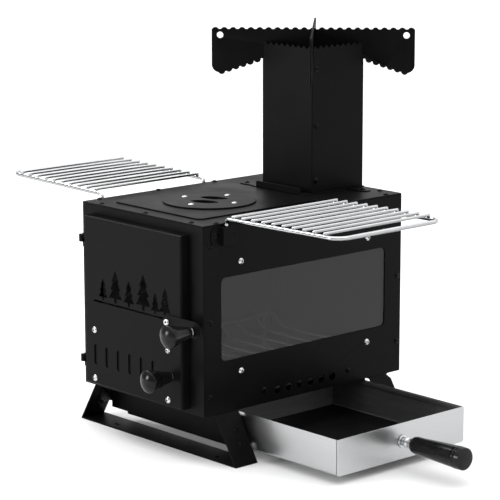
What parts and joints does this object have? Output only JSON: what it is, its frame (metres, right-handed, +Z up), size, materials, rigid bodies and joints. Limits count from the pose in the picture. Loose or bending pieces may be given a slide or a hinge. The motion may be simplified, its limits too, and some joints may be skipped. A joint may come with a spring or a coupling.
{
  "type": "portable wood stove",
  "caption": "Box-shaped steel wood stove on splayed legs with a hinged door, side windows, side racks, ash drawer and a square flue tower with a crossed pot stand.",
  "frame": {"origin": "on the floor, under the middle of the bounding box of the whole stove with its drawer pulled out", "axes": "+X towards the side with the ash drawer, +Y towards the rear, where the flue tower stands, -Y towards the door, +Z up"},
  "size_m": [0.6684, 0.4218, 0.478],
  "materials": {
    "black_coat": "heat-proof satin black coat",
    "bare_sheet": "plain bright steel sheet",
    "bright_wire": "bright plated wire",
    "zinc": "bright zinc-plated screws, washers and posts",
    "oven_glass": "smooth heat-proof glass",
    "bakelite": "glossy black turned bakelite",
    "grate_steel": "dull steel wire"
  },
  "bodies": {
    "stove": {"front_panel": "black_coat", "rear_panel": "black_coat", "right_panel": "black_coat", "left_panel": "black_coat", "base_panel": "black_coat", "top_frame": "black_coat", "cook_plate": "black_coat", "fire_grate": "grate_steel", "right_glass": "oven_glass", "left_glass": "oven_glass", "right_retainer_upper": "black_coat", "right_retainer_lower": "black_coat", "left_retainer_upper": "black_coat", "left_retainer_lower": "black_coat", "window_screws": "zinc", "right_panel_screws": "black_coat", "left_panel_screws": "black_coat", "top_screws": "black_coat", "rear_panel_screws": "black_coat", "keeper_stud": "zinc", "hinge_brackets": "black_coat", "hinge_pins": "zinc", "front_leg": "black_coat", "front_apron": "black_coat", "rear_leg": "black_coat", "rear_apron": "black_coat", "leg_screws": "black_coat", "right_rack_brackets": "black_coat", "left_rack_brackets": "black_coat", "bracket_screws": "black_coat", "tower_base": "black_coat", "tower_front": "black_coat", "tower_rear": "black_coat", "tower_left": "black_coat", "tower_right": "black_coat", "tower_screws": "black_coat"},
    "door": {"door_shell": "black_coat", "vent_guide": "black_coat", "door_screws": "zinc", "door_knuckles": "black_coat", "latch_pivot": "zinc"},
    "latch": {"latch_lever": "black_coat", "latch_ferrule": "zinc", "latch_grip": "bakelite"},
    "vent": {"vent_slider": "black_coat", "vent_ferrule": "zinc", "vent_grip": "bakelite"},
    "drawer": {"ash_drawer": "bare_sheet", "drawer_post": "zinc", "drawer_grip": "bakelite"},
    "lid": {"cooking_lid": "black_coat", "lid_disc": "black_coat", "lid_rivets": "zinc"},
    "right_rack": {"right_rack": "bright_wire"},
    "left_rack": {"left_rack": "bright_wire"},
    "pot_stand": {"stand_plate_lower": "black_coat", "stand_plate_upper": "black_coat"}
  },
  "joints": [
    {"name": "door_hinge", "type": "hinge", "parent": "stove", "child": "door", "pos_m": [-0.14229, -0.16002, 0.165], "axis": [0, 0, -1], "range_deg": [0, 170]},
    {"name": "latch_swing", "type": "hinge", "parent": "door", "child": "latch", "pos_m": [0.02521, -0.16842, 0.1637], "axis": [0, -1, 0], "range_deg": [0, 40]},
    {"name": "vent_slide", "type": "slide", "parent": "door", "child": "vent", "axis": [-1, 0, 0], "range_m": [0, 0.01075]},
    {"name": "drawer_slide", "type": "slide", "parent": "stove", "child": "drawer", "axis": [-1, 0, 0], "range_m": [0, 0.16]},
    {"name": "lid_lift", "type": "slide", "parent": "stove", "child": "lid", "axis": [0, 0, 1], "range_m": [0, 0.08]},
    {"name": "right_rack_lift", "type": "slide", "parent": "stove", "child": "right_rack", "axis": [0, 0, 1], "range_m": [0, 0.06]},
    {"name": "left_rack_lift", "type": "slide", "parent": "stove", "child": "left_rack", "axis": [0, 0, 1], "range_m": [0, 0.06]},
    {"name": "pot_stand_lift", "type": "slide", "parent": "stove", "child": "pot_stand", "axis": [0, 0, 1], "range_m": [0, 0.07]}
  ]
}
